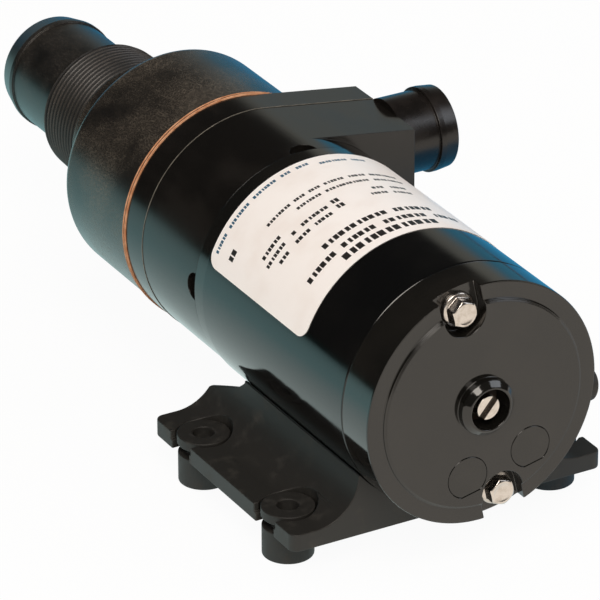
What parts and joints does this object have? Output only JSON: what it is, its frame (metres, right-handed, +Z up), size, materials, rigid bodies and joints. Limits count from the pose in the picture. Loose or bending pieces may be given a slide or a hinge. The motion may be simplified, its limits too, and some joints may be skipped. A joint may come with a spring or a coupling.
{
  "type": "macerator toilet pump",
  "caption": "Marine macerator pump: motor on a saddle base with rubber feet, impeller pump with a side hose spigot and a cutter housing with a threaded hose tail.",
  "frame": {"origin": "on the floor at the centre of the four foot holes", "axes": "+X towards the discharge side, +Y along the motor axis towards the inlet, +Z up"},
  "size_m": [0.1215, 0.2929, 0.0968],
  "materials": {
    "filled_plastic": "dull black moulding with glass filler showing as brown mottle",
    "gasket_fibre": "pressed tan fibre",
    "stainless_steel": "plain bright steel",
    "body_plastic": "gloss black moulding",
    "rubber": "matt black rubber",
    "brass": "turned brass or bronze",
    "enamelled_casting": "die casting under gloss black enamel",
    "bearing_steel": "ground bearing or spring steel",
    "enamelled_steel": "gloss black enamel",
    "ferrite": "sintered dark grey",
    "core_steel": "stacked steel sheets",
    "copper": "copper",
    "board": "brown laminated board",
    "carbon": "pressed carbon",
    "cover_plastic": "gloss black moulding",
    "label_film": "satin warm white label, no words",
    "base_plastic": "matt black-brown moulding"
  },
  "bodies": {
    "pump": {"inlet_housing": "filled_plastic", "inlet_neck": "filled_plastic", "hose_tail": "filled_plastic", "housing_gasket": "gasket_fibre", "wear_plate": "stainless_steel", "body_gasket": "gasket_fibre", "housing_screws": "stainless_steel", "pump_body": "body_plastic", "outlet_spigot": "body_plastic", "shaft_seal": "rubber", "seal_spring": "stainless_steel", "front_plate": "enamelled_casting", "bearing_outer_race": "bearing_steel", "motor_can": "enamelled_steel", "magnet_left": "ferrite", "magnet_right": "ferrite", "end_cover": "enamelled_casting", "cover_seal": "rubber", "rear_bush": "brass", "brush_plate": "board", "brush_holder_left": "brass", "brush_holder_right": "brass", "brush_spring_left": "bearing_steel", "brush_spring_right": "bearing_steel", "through_bolts": "stainless_steel", "access_plugs": "cover_plastic", "cable_grommet": "rubber", "label": "label_film", "base": "base_plastic", "foot_rear_left": "rubber", "foot_rear_right": "rubber", "foot_front_left": "rubber", "foot_front_right": "rubber", "base_screws": "stainless_steel", "base_nuts": "stainless_steel"},
    "rotor": {"shaft": "stainless_steel", "armature_core": "core_steel", "windings": "copper", "commutator": "copper", "bearing_inner_race": "bearing_steel", "bearing_clip": "bearing_steel", "slinger": "rubber", "impeller": "rubber", "impeller_insert": "brass", "impeller_key": "stainless_steel", "cutter": "stainless_steel", "cutter_washer": "stainless_steel", "cutter_nut": "stainless_steel"},
    "ball_train": {"bearing_balls": "bearing_steel", "bearing_cage": "brass"},
    "left_brush": {"brush_left": "carbon"},
    "right_brush": {"brush_right": "carbon"}
  },
  "joints": [
    {"name": "rotor_spin", "type": "hinge", "parent": "pump", "child": "rotor", "pos_m": [0, 0, 0.0562], "axis": [0, 1, 0], "continuous": true, "deforming": ["impeller"]},
    {"name": "ball_train_spin", "type": "hinge", "parent": "pump", "child": "ball_train", "pos_m": [0, 0, 0.0562], "axis": [0, 1, 0], "continuous": true},
    {"name": "left_brush_slide", "type": "slide", "parent": "pump", "child": "left_brush", "axis": [-0.9767, 0, -0.2147], "range_m": [0, 0.003], "stiffness_N_per_m": 400, "springref_m": -0.004, "deforming": ["brush_spring_left"]},
    {"name": "right_brush_slide", "type": "slide", "parent": "pump", "child": "right_brush", "axis": [0.9767, 0, 0.2147], "range_m": [0, 0.003], "stiffness_N_per_m": 400, "springref_m": -0.004, "deforming": ["brush_spring_right"]}
  ],
  "couplings": [
    {"joint": "ball_train_spin", "follows": "rotor_spin", "ratio": 0.381}
  ]
}
